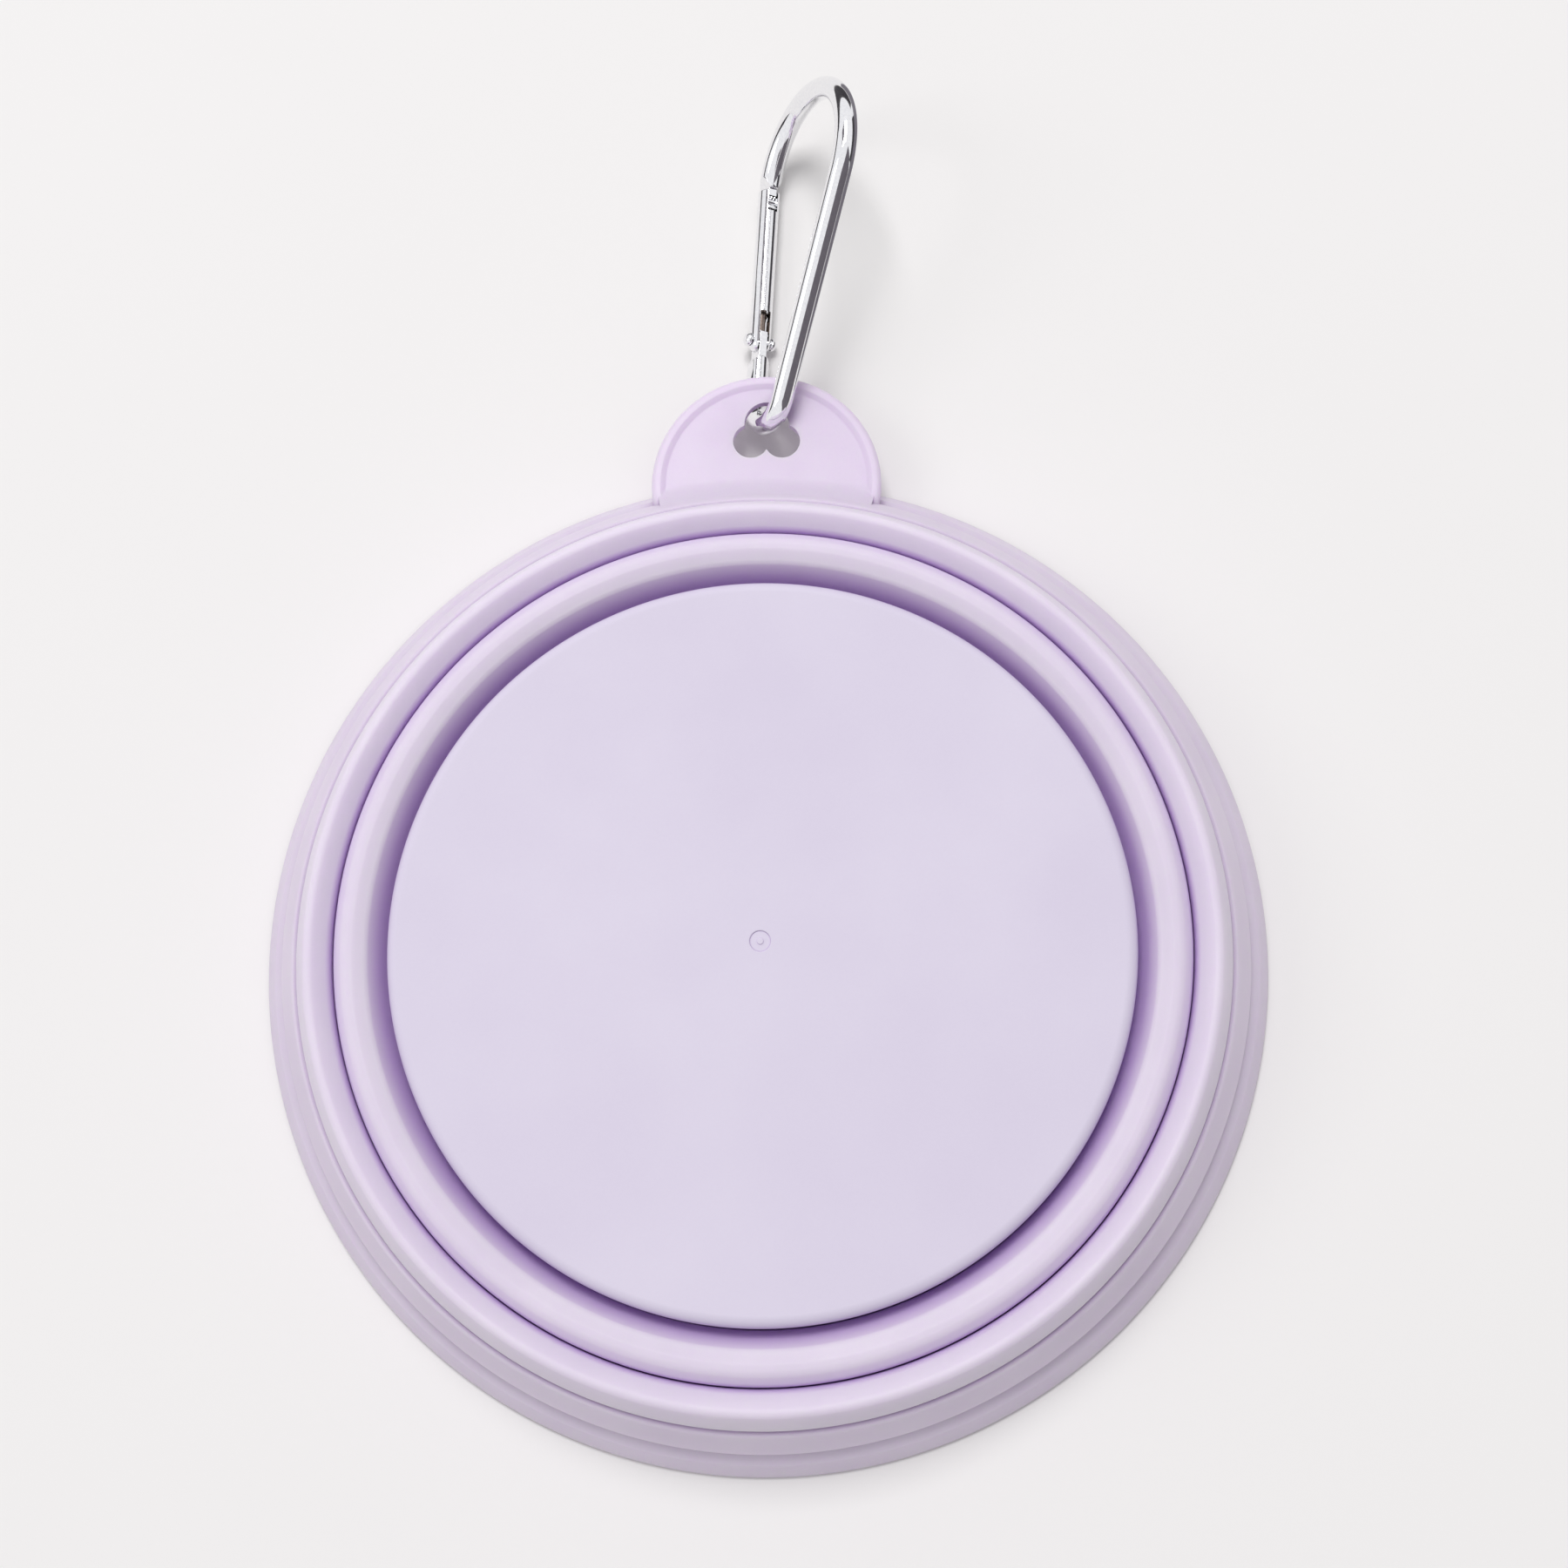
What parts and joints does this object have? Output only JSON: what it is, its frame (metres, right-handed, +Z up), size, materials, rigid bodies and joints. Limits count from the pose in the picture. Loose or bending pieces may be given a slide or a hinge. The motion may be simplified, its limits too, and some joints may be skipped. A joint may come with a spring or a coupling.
{
  "type": "collapsible silicone bowl",
  "caption": "Round collapsible silicone bowl, folded flat and resting on its rim, with a hard base plate, a hanging tab on the rim and a sprung snap hook through the tab.",
  "frame": {"origin": "centre of the face that the rim rests on, on the bowl's axis", "axes": "+Z up out of the table towards the base plate, +Y towards the hanging tab, +X to the right seen from above"},
  "size_m": [0.1299, 0.1836, 0.0224],
  "materials": {
    "rim_plastic": "satin moulded lavender plastic",
    "silicone": "soft satin lavender silicone",
    "base_plastic": "fine satin lavender plastic",
    "hook_metal": "polished nickel-plated steel",
    "spring_steel": "bare drawn steel, brown with oil"
  },
  "bodies": {
    "rim": {"rim_ring": "rim_plastic", "outer_wall_band": "silicone", "outer_fold_web": "silicone"},
    "middle": {"middle_wall_band": "silicone", "inner_fold_web": "silicone"},
    "base": {"base_wall_band": "silicone", "base_plate": "base_plastic"},
    "hook": {"hook_body": "hook_metal", "gate_rivet": "hook_metal"},
    "gate": {"hook_gate": "hook_metal", "gate_latch_pin": "hook_metal", "gate_spring": "spring_steel"},
    "plunger": {"gate_plunger": "spring_steel"}
  },
  "joints": [
    {"name": "outer_fold", "type": "slide", "parent": "rim", "child": "middle", "axis": [0, 0, 1], "range_m": [0, 0.02], "deforming": ["outer_fold_web"]},
    {"name": "inner_fold", "type": "slide", "parent": "middle", "child": "base", "axis": [0, 0, 1], "range_m": [0, 0.02], "deforming": ["inner_fold_web"]},
    {"name": "hook_swing", "type": "hinge", "parent": "rim", "child": "hook", "pos_m": [0.0004, 0.076, 0.0056], "axis": [0.8648, -0.0453, -0.5], "range_deg": [-75, 75]},
    {"name": "gate_hinge", "type": "hinge", "parent": "hook", "child": "gate", "pos_m": [-0.00123, 0.0851, 0.00196], "axis": [0.8648, -0.0453, -0.5], "range_deg": [0, 35], "stiffness_Nm_per_rad": 0.01, "springref_deg": -11.46},
    {"name": "plunger_slide", "type": "slide", "parent": "gate", "child": "plunger", "axis": [0.0523, 0.9986, 0], "range_m": [0, 0.0005], "deforming": ["gate_spring"]}
  ],
  "couplings": [
    {"joint": "plunger_slide", "follows": "gate_hinge", "m_per_rad": 0.0008}
  ]
}
